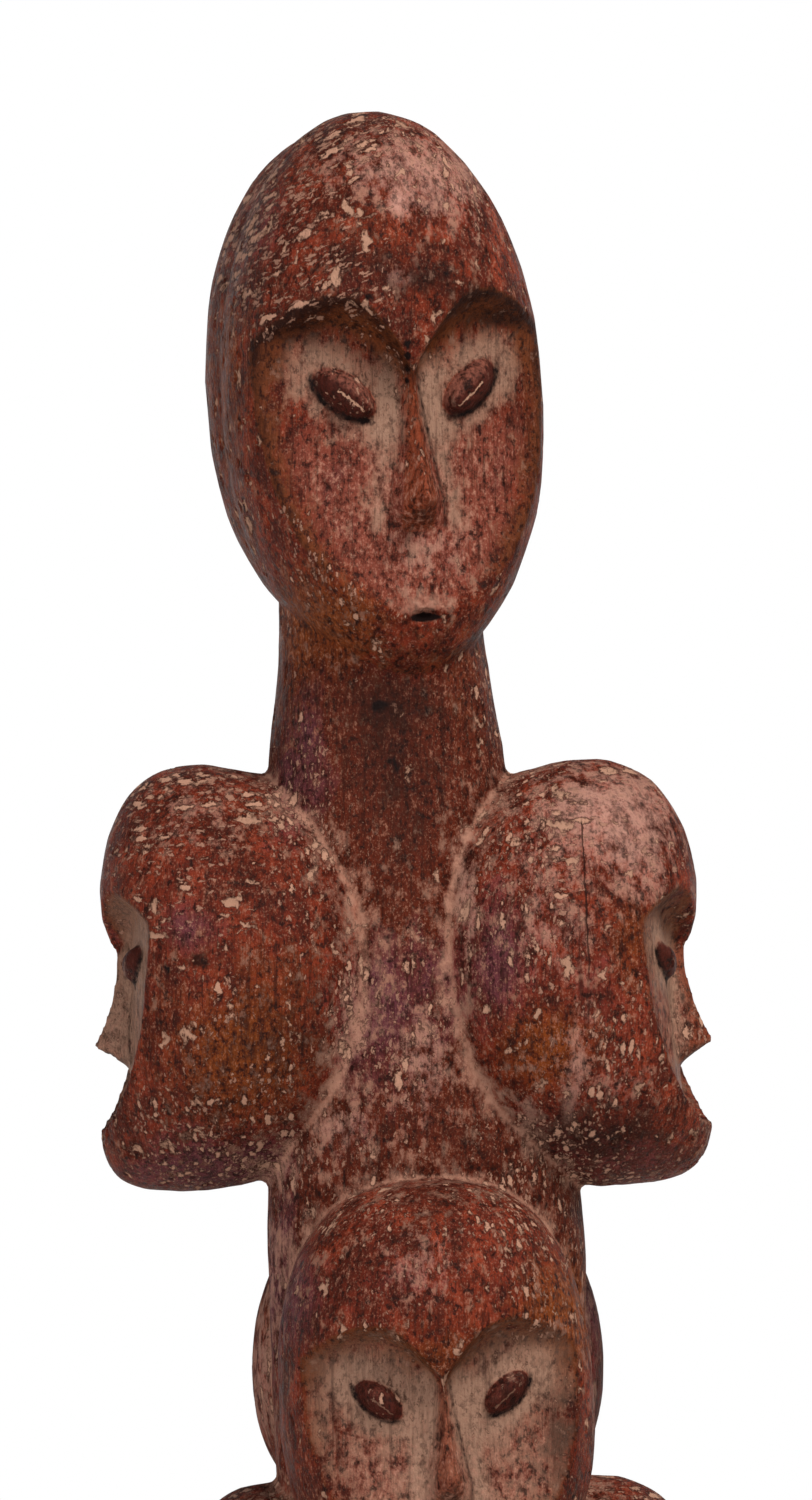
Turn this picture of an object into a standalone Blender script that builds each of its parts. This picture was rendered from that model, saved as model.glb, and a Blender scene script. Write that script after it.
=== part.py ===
"""Initiation figure with many heads, carved from one length of hardwood.

Eight heads grow out of one trunk: a pair back to back on top, a pair facing outwards below the neck, a pair
facing forwards and backwards at the belly, and a lower pair facing outwards again, over a low round base.
Every head has the same carved face: a hollow under two brow arches, long nose, slanting eyes, small mouth.
"""

import math
from dataclasses import dataclass

import bmesh
import bpy
import numpy as np
from mathutils import Matrix, Vector

# Driving sizes, in metres
FIGURE_HEIGHT = 0.420
BASE_RADIUS = 0.037
BASE_HEIGHT = 0.013

# The figure is drawn as shares of its own height, in parts of which there are 420 from ground to crown
PART = FIGURE_HEIGHT / 420

# How finely the carved surface is modelled
VOXEL = 1.3 * PART
TRIANGLES = 9400
SPHERE_SUBDIVISIONS = 6
TRUNK_SIDES = 48

TINY = 1e-6

# The wood's finish
WOOD_COLOUR = (0.155, 0.042, 0.026, 1.0)
WOOD_ROUGHNESS = 0.55


@dataclass
class Head:
    """One carved head: lengths in parts, angles in degrees. A turn of 0 faces forwards, 90 faces right."""

    name: str
    crown: float  # height of its crown above the ground
    height: float
    half_width: float
    face_depth: float  # from its own axis forwards to the forehead
    root_depth: float  # from its own axis back into the trunk
    reach: float  # from the trunk's centreline to its own axis
    turn: float
    lean: float = 0.0  # tips the crown to the head's own right
    nod: float = 0.0  # tips the crown forwards
    lift: float = 0.0  # raises its face, as a share of half its height
    face_share: float = 0.81  # half width of the hollow face, as a share of the head's
    crown_bulge: float = 3.1  # 2 is round in profile, and more is squarer
    chin_bulge: float = 6.0
    dome: float = 2.1  # 2 is round seen from the front, and more is broader
    sway: float = 0.0  # how far the crown bends to the head's own left
    jut: float = 0.0  # how far the chin dips in front, as a share of its depth
    foot: float = 0.0  # how far back the face's lower end lies, as a share of the height
    taper: float = 0.0  # how much lower the head gets with each part back into the trunk, as a share


TOP_FRONT = Head(
    "top_front", 420, 120, 34.4, 31, 28, 6, 16, 3.6, 0, 0, 0.93, 2.5, 2.7, 2.0, -0.45, jut=0.3, foot=0.066
)
TOP_BACK = Head("top_back", 418, 113, 34.6, 31, 28, 8, 190, -4.0, 0, 0, 0.88, 2.5, 4.0)
UPPER_LEFT = Head(
    "upper_left", 281.8, 91.3, 30, 29, 41, 36, -88, lift=0.065, crown_bulge=3.3, foot=0.062, taper=0.004
)
UPPER_RIGHT = Head(
    "upper_right", 282.5, 91.5, 30, 32, 29.5, 33, 86, 0, -4.5, 0.03, crown_bulge=3.3, foot=0.062, taper=0.004
)
MIDDLE_FRONT = Head("middle_front", 194.5, 94, 33.5, 28, 36, 24.5, 4, 3.5, 0, 0.045, 0.88, dome=2.5)
MIDDLE_BACK = Head("middle_back", 194.5, 82, 38, 28, 36, 23, 180, lift=0.045)
LOWER_LEFT = Head("lower_left", 129.5, 83, 29, 27, 38, 27.5, -89, lift=0.08, foot=0.022)
LOWER_RIGHT = Head("lower_right", 131, 85, 29, 28, 38, 30, 88, lift=0.08, foot=0.022)
HEADS = (
    TOP_FRONT,
    TOP_BACK,
    UPPER_LEFT,
    UPPER_RIGHT,
    MIDDLE_FRONT,
    MIDDLE_BACK,
    LOWER_LEFT,
    LOWER_RIGHT,
)

# Every head's outline: the exponents of its rounded cross-sections
PLAN_ROUNDNESS = 2.2
JAW_ROUNDNESS = 2.25
NAPE_ROUNDNESS = 2.7
CHIN_TAPER = 0.2
LEVEL_SPREAD = 0.8
SWAY_POWER = 2
TAPER_START = -6
JUT_POWER = 6

# Every face: levels are shares of half the head's height, from -1 at the chin to 1 at the crown;
# lengths are shares of the head's height
BROW_ROOT = 0.06
BROW_RISE = 0.285
BROW_OUTER_FALL = 0.15
RIM_SOFTNESS = 0.034
RIM_ROUNDNESS = 2.2
RIM_STEP = 0.012
RIM_PINCH = 0.05
HOLLOW_DEPTH = 0.082
HOLLOW_CURVE = 0.065
HOLLOW_FOOT = -0.77
HOLLOW_SLOPE = 0.265
HOLLOW_EASE = 0.010
HOLLOW_TURN = 0.03
# Along the middle of the face: level, and how far behind the forehead the nose's ridge and brow root lie
BRIDGE = (
    (-0.39, -0.014),
    (-0.30, 0.008),
    (-0.20, 0.026),
    (-0.08, 0.037),
    (0.05, 0.037),
    (0.20, 0.010),
    (0.36, 0.0),
)
BRIDGE_WIDTH = 0.09
NOSE_TOP = 0.12
NOSE_TIP = -0.39
NOSE_BASE = -0.49
NOSE_TOP_HALF_WIDTH = 0.014
NOSE_BASE_HALF_WIDTH = 0.052
NOSE_FLARE = 1.4
NOSE_ROUNDNESS = 1.25
EYE_ACROSS = 0.40
EYE_LEVEL = 0.0
EYE_HALF_LENGTH = 0.061
EYE_HALF_WIDTH = 0.033
EYE_HEIGHT = 0.034
EYE_CREST = 0.45
EYE_SLANT = 40.0
MOUTH_LEVEL = -0.765
MOUTH_HALF_WIDTH = 0.034
MOUTH_HALF_HEIGHT = 0.014
MOUTH_DEPTH = 0.030

# The trunk, in parts: height, sideways place of its centreline, half width and half depth
TRUNK = (
    (60, 0.0, 30.0, 25.0),
    (110, -0.5, 32.0, 26.5),
    (150, -1.0, 33.5, 27.5),
    (180, -1.2, 34.2, 27.5),
    (200, -2.4, 33.0, 26.5),
    (231, -6.2, 30.0, 25.0),
    (262, -9.0, 27.5, 23.0),
    (282, -9.8, 25.4, 21.5),
    (306, -10.7, 22.2, 20.0),
    (335, -12.6, 21.0, 19.0),
)
TRUNK_ROUNDNESS = 2.2
FOOT_HEIGHT = 30  # where the trunk has swept in from the base, in parts
BELOW_GROUND = 0.006
BASE_EDGE = 0.0025


def remove_everything():
    for thing in list(bpy.data.objects):
        bpy.data.objects.remove(thing)


def rounded(level, exponent):
    """Half width of a rounded outline at a level from -1 to 1, as a share of its widest."""
    return (1 - np.abs(level).clip(0, 1) ** exponent) ** (1 / exponent)


def smooth_step(value):
    value = np.clip(value, 0, 1)
    return value * value * (3 - 2 * value)


def plan_radius(side, ahead, half_width, half_depth, exponent):
    """Radius of a rounded cross-section in the direction (side, ahead)."""
    across = np.hypot(side, ahead).clip(TINY)
    side_share = np.abs(side) / across / half_width.clip(TINY)
    ahead_share = np.abs(ahead) / across / half_depth.clip(TINY)
    return (side_share**exponent + ahead_share**exponent + TINY) ** (-1 / exponent)


def trunk_centre(height):
    """Sideways place of the trunk's centreline at a height in parts."""
    heights, places = zip(*[(row[0], row[1]) for row in TRUNK])
    return float(np.interp(height, heights, places))


def egg(head, points):
    """The head before its face is cut: points of a unit sphere moved onto its rounded outlines, in parts."""
    level = np.sign(points[:, 2]) * np.abs(points[:, 2]) ** LEVEL_SPREAD
    above = level > 0
    jaw = rounded(level, JAW_ROUNDNESS) * (1 - CHIN_TAPER * level**4)
    width = np.where(above, rounded(level, head.dome), jaw)
    crown = rounded(level, head.crown_bulge)
    profile = np.where(above, crown, rounded(level, head.chin_bulge))
    nape = np.where(above, crown, rounded(level, NAPE_ROUNDNESS))
    depth = np.where(points[:, 1] < 0, head.face_depth * profile, head.root_depth * nape)
    radius = plan_radius(points[:, 0], points[:, 1], head.half_width * width, depth, PLAN_ROUNDNESS)
    across = np.hypot(points[:, 0], points[:, 1]).clip(TINY)
    x, y = radius * points[:, 0] / across, radius * points[:, 1] / across
    return np.column_stack((x, y, level * head.height / 2))


def inside_rim(head, x, level):
    """How far inside the hollow face a place is, in parts: below its brow arches and within its cheeks."""
    share = np.abs(x) / head.half_width
    half_span = head.face_share / 2
    fall = np.where(share < half_span, BROW_RISE, BROW_OUTER_FALL)
    arch = BROW_ROOT + BROW_RISE - fall * ((share - half_span) / half_span) ** 2
    below_root = (BROW_ROOT - level) / (BROW_ROOT - HOLLOW_FOOT)
    cheek = head.face_share * rounded(below_root.clip(0), RIM_ROUNDNESS)
    return np.minimum((arch - level) * head.height / 2, (cheek - share) * head.half_width)


def cut_face(head, points):
    """Cuts the hollow face, the nose, the eyes and the mouth into the front of the head, in parts."""
    x, y, z = points.T.copy()
    size = head.height
    level = z / (size / 2) - head.lift
    front = y < 0

    setback = np.interp(level, *zip(*BRIDGE)) * size
    y = np.where(front, y + setback.clip(0) * np.exp(-((x / (BRIDGE_WIDTH * size)) ** 2)), y)

    rising = head.foot + HOLLOW_SLOPE * (level - HOLLOW_FOOT).clip(-0.2)
    hollow = (rising + HOLLOW_DEPTH - np.hypot(rising - HOLLOW_DEPTH, HOLLOW_TURN)) / 2 * size
    floor = hollow - head.face_depth + HOLLOW_CURVE * size * (x / head.half_width) ** 2
    step = RIM_STEP * size
    below = floor - y
    cut = (below + step + np.hypot(below - step, HOLLOW_EASE * size)) / 2
    inside = smooth_step(inside_rim(head, x, level) / (RIM_SOFTNESS * size))
    y = np.where(front, y + cut * inside, y)

    down = np.clip((NOSE_TOP - level) / (NOSE_TOP - NOSE_TIP), 0, 1)
    under = np.clip((NOSE_TIP - level) / (NOSE_TIP - NOSE_BASE), 0, 1)
    ridge = setback - head.face_depth
    ridge = ridge + (floor - ridge) * under
    half_width = NOSE_TOP_HALF_WIDTH + (NOSE_BASE_HALF_WIDTH - NOSE_TOP_HALF_WIDTH) * down**NOSE_FLARE
    flank = (np.abs(x) / (half_width * size)).clip(0, 1) ** NOSE_ROUNDNESS
    nose = ridge + (floor - ridge) * flank
    on_nose = front & (level < NOSE_TOP + 0.05) & (level > NOSE_BASE) & (flank < 1)
    y = np.where(on_nose, np.minimum(y, nose), y)

    slant = math.radians(EYE_SLANT)
    for side in (-1, 1):
        away = (x - side * EYE_ACROSS * head.half_width) * side
        rise = (level - EYE_LEVEL) * size / 2
        along = (away * math.cos(slant) + rise * math.sin(slant)) / (EYE_HALF_LENGTH * size)
        athwart = (rise * math.cos(slant) - away * math.sin(slant)) / (EYE_HALF_WIDTH * size)
        lid = EYE_HEIGHT * size * (1 - along**2 - athwart**2).clip(0) ** EYE_CREST
        y = np.where(front, y - lid, y)

    mouth = 1 - (x / (MOUTH_HALF_WIDTH * size)) ** 2 - ((level - MOUTH_LEVEL) / (2 * MOUTH_HALF_HEIGHT)) ** 2
    y = np.where(front, y + MOUTH_DEPTH * size * np.sqrt(mouth.clip(0)), y)
    x = np.where(front, x * (1 - RIM_PINCH * inside * (x / head.half_width) ** 2), x)
    return np.column_stack((x, y, z))


def head_place(head):
    """The matrix that takes the head from its own axes, in parts, to its place on the trunk, in metres."""
    middle = head.crown - head.height / 2
    turned = Matrix.Rotation(math.radians(head.turn), 4, "Z")
    forwards = turned @ Vector((0, -head.reach, 0))
    leaning = Matrix.Rotation(math.radians(-head.lean), 4, "Y")
    nodding = Matrix.Rotation(math.radians(head.nod), 4, "X")
    place = Vector((trunk_centre(middle) + forwards.x, forwards.y, middle))
    return Matrix.Scale(PART, 4) @ Matrix.Translation(place) @ turned @ leaning @ nodding


def unit_sphere():
    sphere = bmesh.new()
    bmesh.ops.create_icosphere(sphere, subdivisions=SPHERE_SUBDIVISIONS, radius=1)
    mesh = bpy.data.meshes.new("sphere")
    sphere.to_mesh(mesh)
    sphere.free()
    return mesh


def add_head(body, sphere, head):
    points = np.empty(len(sphere.vertices) * 3)
    sphere.vertices.foreach_get("co", points)
    uncut = egg(head, points.reshape(-1, 3))
    level = uncut[:, 2] / (head.height / 2)
    carved = cut_face(head, uncut)
    carved[:, 0] += head.sway * level.clip(0, 1) ** SWAY_POWER
    carved[:, 2] += head.jut * carved[:, 1] * level.clip(-1, 0) ** JUT_POWER
    carved[:, 2] *= 1 - head.taper * (carved[:, 1] - TAPER_START).clip(0)
    mesh = sphere.copy()
    mesh.vertices.foreach_set("co", carved.ravel())
    mesh.transform(head_place(head))
    body.from_mesh(mesh)
    bpy.data.meshes.remove(mesh)


def trunk_rings():
    """Height, centre, half width and half depth of each ring, in metres, from the ground up to the neck."""
    rings = [
        (-BELOW_GROUND, 0, BASE_RADIUS, BASE_RADIUS),
        (BASE_HEIGHT - BASE_EDGE, 0, BASE_RADIUS, BASE_RADIUS),
        (BASE_HEIGHT, 0, BASE_RADIUS - BASE_EDGE, BASE_RADIUS - BASE_EDGE),
    ]
    foot = TRUNK[0]
    rings.append((BASE_HEIGHT + 0.3 * FOOT_HEIGHT * PART, 0, foot[2] * PART, foot[3] * PART))
    for height, centre, half_width, half_depth in TRUNK:
        rings.append((height * PART, centre * PART, half_width * PART, half_depth * PART))
    return rings


def add_trunk(body):
    """The trunk and its base, raised ring by ring from one disc."""
    made = bmesh.ops.create_circle(body, cap_ends=True, segments=TRUNK_SIDES, radius=1)
    ring = made["verts"]
    disc = list({face for vert in ring for face in vert.link_faces})
    centre = 0.0
    for number, (height, next_centre, half_width, half_depth) in enumerate(trunk_rings()):
        if number:
            raised = bmesh.ops.extrude_face_region(body, geom=disc)["geom"]
            ring = [piece for piece in raised if isinstance(piece, bmesh.types.BMVert)]
            disc = [piece for piece in raised if isinstance(piece, bmesh.types.BMFace)]
        side = np.array([vert.co.x - centre for vert in ring])
        ahead = np.array([vert.co.y for vert in ring])
        radius = plan_radius(side, ahead, np.array(half_width), np.array(half_depth), TRUNK_ROUNDNESS)
        stretch = radius / np.hypot(side, ahead)
        for vert, x, y in zip(ring, next_centre + side * stretch, ahead * stretch):
            vert.co = (x, y, height)
        centre = next_centre
    bmesh.ops.recalc_face_normals(body, faces=body.faces)


def carved_mesh():
    """Heads and trunk as one skin, thinned to its triangles."""
    body = bmesh.new()
    add_trunk(body)
    sphere = unit_sphere()
    for head in HEADS:
        add_head(body, sphere, head)
    blank_mesh = bpy.data.meshes.new("blank")
    body.to_mesh(blank_mesh)
    body.free()
    blank = bpy.data.objects.new("blank", blank_mesh)
    bpy.context.collection.objects.link(blank)
    skin = blank.modifiers.new("one skin", "REMESH")
    skin.mode = "VOXEL"
    skin.voxel_size = VOXEL
    evened = blank.modifiers.new("evened", "SMOOTH")
    evened.factor = 0.5
    evened.iterations = 2
    faces = len(blank.evaluated_get(bpy.context.evaluated_depsgraph_get()).data.polygons)
    thinned = blank.modifiers.new("thinned", "DECIMATE")
    thinned.ratio = TRIANGLES / (2 * faces)
    graph = bpy.context.evaluated_depsgraph_get()
    mesh = bpy.data.meshes.new_from_object(blank.evaluated_get(graph))
    bpy.data.objects.remove(blank)
    bpy.data.meshes.remove(blank_mesh)
    return mesh


def stand_on_ground(mesh):
    """Cuts the base flat at the ground and centres the figure on the origin."""
    solid = bmesh.new()
    solid.from_mesh(mesh)
    everything = solid.verts[:] + solid.edges[:] + solid.faces[:]
    bmesh.ops.bisect_plane(solid, geom=everything, plane_co=(0, 0, 0), plane_no=(0, 0, 1), clear_inner=True)
    rim = [edge for edge in solid.edges if edge.is_boundary]
    bmesh.ops.contextual_create(solid, geom=rim)
    bmesh.ops.triangulate(solid, faces=solid.faces)
    bmesh.ops.recalc_face_normals(solid, faces=solid.faces)
    places = np.array([vert.co for vert in solid.verts])
    middle = (places.min(axis=0) + places.max(axis=0)) / 2
    bmesh.ops.translate(solid, vec=(-middle[0], -middle[1], 0), verts=solid.verts)
    solid.to_mesh(mesh)
    solid.free()


def wood():
    material = bpy.data.materials.new("oxblood wood")
    material.use_nodes = True
    shader = material.node_tree.nodes["Principled BSDF"]
    shader.inputs["Base Color"].default_value = WOOD_COLOUR
    shader.inputs["Roughness"].default_value = WOOD_ROUGHNESS
    shader.inputs["Metallic"].default_value = 0.0
    return material


remove_everything()
figure_mesh = carved_mesh()
stand_on_ground(figure_mesh)
figure_mesh.name = "figure"
figure_mesh.materials.clear()
figure_mesh.materials.append(wood())
figure_mesh.shade_smooth()
figure_mesh.set_sharp_from_angle(angle=math.radians(50))
bpy.context.collection.objects.link(bpy.data.objects.new("figure", figure_mesh))
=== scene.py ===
"""Initiation figure: eight carved heads on one trunk, in red-stained hardwood with pale clay in the cuts."""

import itertools
import math
from dataclasses import dataclass

import bmesh
import bpy
import numpy as np
from mathutils import Matrix, Vector


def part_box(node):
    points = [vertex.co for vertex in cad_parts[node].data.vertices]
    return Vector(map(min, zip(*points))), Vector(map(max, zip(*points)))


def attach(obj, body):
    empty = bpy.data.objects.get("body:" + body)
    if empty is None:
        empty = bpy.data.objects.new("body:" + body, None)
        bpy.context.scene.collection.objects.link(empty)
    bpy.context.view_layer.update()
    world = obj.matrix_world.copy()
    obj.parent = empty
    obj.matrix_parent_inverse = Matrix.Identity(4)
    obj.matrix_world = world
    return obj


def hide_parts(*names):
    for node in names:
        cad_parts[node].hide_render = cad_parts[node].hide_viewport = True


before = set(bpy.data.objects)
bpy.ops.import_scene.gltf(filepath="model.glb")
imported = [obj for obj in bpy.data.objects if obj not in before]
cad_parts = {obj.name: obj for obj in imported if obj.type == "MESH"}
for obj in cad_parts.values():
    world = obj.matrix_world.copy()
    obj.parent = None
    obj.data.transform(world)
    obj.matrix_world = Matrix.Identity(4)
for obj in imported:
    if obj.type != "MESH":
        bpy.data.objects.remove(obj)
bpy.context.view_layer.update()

# The figure: one length of dense hardwood, roughed out with an adze and finished with a knife. Eight heads
# grow from its trunk, back to back in pairs, above a low round foot. It stands on its own underside.

MM = 0.001
TINY = 1e-6
FAR = 99.0  # mm, for what lies out of reach
SKIN_GRAIN = 0.8  # mm between the points of the carved skin
MOST_TRIANGLES = 196000
SPHERE_SUBDIVISIONS = 7


@dataclass
class Head:
    """One carved head. Lengths are in mm, angles in degrees; a turn of 0 faces forwards, and 90 right."""

    crown: float  # height of its crown above the ground
    height: float
    half_width: float
    face_depth: float  # from its own axis forwards to the forehead
    root_depth: float  # from its own axis back into the trunk
    reach: float  # from the trunk's centreline to its own axis
    turn: float
    lean: float = 0.0  # tips the crown to the head's own right
    nod: float = 0.0  # tips the crown forwards
    lift: float = 0.0  # raises its face, as a share of half its height
    face_share: float = 0.81  # half width of the hollow face, as a share of the head's
    crown_bulge: float = 3.1  # 2 is round in profile, and more is squarer
    chin_bulge: float = 6.0
    dome: float = 2.1  # 2 is round seen from the front, and more is broader
    sway: float = 0.0  # how far the crown bends to the head's own left
    jut: float = 0.0  # how far the chin dips in front, as a share of its depth
    foot: float = 0.0  # how far back the face's lower end lies, as a share of the height
    taper: float = 0.0  # how much lower the head gets with each mm back into the trunk, as a share


top_front = Head(
    420, 120, 34.4, 31, 28, 6, 16, lean=3.6, face_share=0.93,
    crown_bulge=2.5, chin_bulge=2.7, dome=2.0, sway=-0.45, jut=0.3, foot=0.066,
)
top_back = Head(418, 113, 34.6, 31, 28, 8, 190, lean=-4.0, face_share=0.88, crown_bulge=2.5, chin_bulge=4.0)
upper_left = Head(281.8, 91.3, 30, 29, 41, 36, -88, lift=0.065, crown_bulge=3.3, foot=0.062, taper=0.004)
upper_right = Head(
    282.5, 91.5, 30, 32, 29.5, 33, 86, nod=-4.5, lift=0.03, crown_bulge=3.3, foot=0.062, taper=0.004
)
middle_front = Head(194.5, 94, 33.5, 28, 36, 24.5, 4, lean=3.5, lift=0.045, face_share=0.88, dome=2.5)
middle_back = Head(194.5, 82, 38, 28, 36, 23, 180, lift=0.045)
lower_left = Head(129.5, 83, 29, 27, 38, 27.5, -89, lift=0.08, foot=0.022)
lower_right = Head(131, 85, 29, 28, 38, 30, 88, lift=0.08, foot=0.022)
heads = [top_front, top_back, upper_left, upper_right, middle_front, middle_back, lower_left, lower_right]

# The trunk: height, sideways place of its centreline, half width and half depth, in mm
trunk_rings = np.array(
    [
        (-6, 0.0, 37.0, 37.0),
        (10.5, 0.0, 37.0, 37.0),
        (13, 0.0, 34.5, 34.5),
        (22, 0.0, 30.0, 25.0),
        (60, 0.0, 30.0, 25.0),
        (110, -0.5, 32.0, 26.5),
        (150, -1.0, 33.5, 27.5),
        (180, -1.2, 34.2, 27.5),
        (200, -2.4, 33.0, 26.5),
        (231, -6.2, 30.0, 25.0),
        (262, -9.0, 27.5, 23.0),
        (282, -9.8, 25.4, 21.5),
        (306, -10.7, 22.2, 20.0),
        (335, -12.6, 21.0, 19.0),
    ]
)


PLAN_BULGE = 2.2  # of every cross-section: 2 is round, and more is squarer
JAW_BULGE = 2.25
JAW_PINCH = 0.2  # how much narrower the lowest part of the jaw is, as a share
NAPE_BULGE = 2.7
TAPER_START = 6  # mm in front of a head's axis, from where its taper runs back


def rounded(level, exponent):
    """Half width of a rounded outline at a level from -1 to 1, as a share of its widest."""
    return (1 - np.abs(level).clip(0, 1) ** exponent) ** (1 / exponent)


def smooth_step(value):
    """Eases from 0 to 1 as the value goes from 0 to 1."""
    value = np.clip(value, 0, 1)
    return value * value * (3 - 2 * value)


def plan_radius(side, ahead, half_width, half_depth):
    """Radius of a rounded cross-section in the direction (side, ahead)."""
    across = np.hypot(side, ahead).clip(TINY)
    side_share = np.abs(side) / across / half_width.clip(TINY)
    ahead_share = np.abs(ahead) / across / half_depth.clip(TINY)
    return (side_share**PLAN_BULGE + ahead_share**PLAN_BULGE + TINY) ** (-1 / PLAN_BULGE)


def trunk_at(heights):
    """Centre, half width and half depth of the trunk at these heights, eased where its cones meet."""
    return [
        sum(np.interp(heights + shift, trunk_rings[:, 0], trunk_rings[:, column]) for shift in (-3, 0, 3)) / 3
        for column in (1, 2, 3)
    ]


def egg_radius(head, x, y, level):
    """Plan radius of an uncut head in the direction (x, y), at a level from -1 (chin) to 1 (crown)."""
    above = level > 0
    jaw = rounded(level, JAW_BULGE) * (1 - JAW_PINCH * np.clip(level, -1, 1) ** 4)
    crown = rounded(level, head.crown_bulge)
    width = np.where(above, rounded(level, head.dome), jaw)
    face = head.face_depth * np.where(above, crown, rounded(level, head.chin_bulge))
    nape = head.root_depth * np.where(above, crown, rounded(level, NAPE_BULGE))
    return plan_radius(x, y, head.half_width * width, np.where(y < 0, face, nape))


# The face. Levels go from -1 at the chin to 1 at the crown. Other sizes are shares of the head's height, but
# EYE_ACROSS is a share of its half width.
BROW_TOP = 0.345  # level of the top of each brow arch
BROW_INNER_FALL = 0.285  # how far the arch comes down to the nose, in levels
BROW_OUTER_FALL = 0.15  # and to the temple
CHEEK_TOP = 0.05  # level where the cheeks begin to narrow
CHEEK_HEIGHT = 0.82  # levels from there down to the face's lower end
CHEEK_BULGE = 2.2
RIM_LEVELS = (-0.6, -0.2, 0.1, 0.3)
RIM_STEPS = (0.006, 0.008, 0.022, 0.022)  # least depth of the hollow at those levels
RIM_EASE = 0.010
RIM_SOFT_LEVELS = (-0.6, -0.3, 0.1, 0.25)
RIM_SOFTNESS = (0.04, 0.025, 0.025, 0.055)  # width of the hollow's edge at those levels
RIM_PINCH = 0.05  # how much the head is narrowed where the hollow is cut, as a share
HOLLOW_FOOT = -0.77  # level from which the hollow deepens upwards
HOLLOW_SLOPE = 0.265
HOLLOW_DEPTH = 0.082
HOLLOW_TURN = 0.03  # softness of the bend where it reaches that depth
HOLLOW_CURVE = 0.065  # how much deeper its floor lies at the sides
BRIDGE_WIDTH = 0.09
NOSE_HIGH = 0.17  # the levels between which the nose stands out
NOSE_LOW = -0.49
NOSE_TOP = 0.12  # level from which it widens
NOSE_LENGTH = 0.51
NOSE_TIP = -0.39
NOSE_UNDERSIDE = 0.10
NOSE_TOP_HALF_WIDTH = 0.014
NOSE_WIDENING = 0.038
NOSE_FLARE = 1.4
NOSE_ROUNDNESS = 1.1
EYE_ACROSS = 0.40
EYE_SLANT = math.radians(40)
EYE_HALF_LENGTH = 0.061
EYE_HALF_WIDTH = 0.033
EYE_HEIGHT = 0.036
SLIT_DEPTH = 0.007
MOAT_DEPTH = 0.003
LIPS_LEVEL = -0.765
LIPS_HALF_WIDTH = 0.056
LIPS_HALF_HEIGHT = 0.040
LIPS_HEIGHT = 0.009
MOUTH_LEVEL = -0.770
MOUTH_HALF_WIDTH = 0.029
MOUTH_HALF_HEIGHT = 0.019
MOUTH_DEPTH = 0.030
# Along the middle of the face: level, and how far behind the forehead the brow root and the nose's ridge lie
bridge = (
    (-0.39, -0.014), (-0.3, 0.008), (-0.2, 0.026), (-0.08, 0.037), (0.05, 0.037), (0.2, 0.010), (0.36, 0)
)


def inside_rim(head, x, level):
    """How far inside the hollow face a place is, in mm: below its two brow arches and within its cheeks."""
    share = np.abs(x) / head.half_width
    half_span = head.face_share / 2
    fall = np.where(share < half_span, BROW_INNER_FALL, BROW_OUTER_FALL)
    arch = BROW_TOP - fall * ((share - half_span) / half_span) ** 2
    cheek = head.face_share * rounded(((CHEEK_TOP - level) / CHEEK_HEIGHT).clip(0), CHEEK_BULGE)
    return np.minimum((arch - level) * head.height / 2, (cheek - share) * head.half_width)


def eye_place(head, x, level):
    """Along and across the nearer of the two slanting eyes, as shares of its half length and half width."""
    away = np.abs(x) - EYE_ACROSS * head.half_width
    rise = level * head.height / 2
    along = (away * math.cos(EYE_SLANT) + rise * math.sin(EYE_SLANT)) / (EYE_HALF_LENGTH * head.height)
    athwart = (rise * math.cos(EYE_SLANT) - away * math.sin(EYE_SLANT)) / (EYE_HALF_WIDTH * head.height)
    return along, athwart


def nose_half_width(level):
    """Half width of the nose's base at this level, as a share of the head's height."""
    down = np.clip((NOSE_TOP - level) / NOSE_LENGTH, 0, 1)
    return NOSE_TOP_HALF_WIDTH + NOSE_WIDENING * down**NOSE_FLARE


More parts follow.
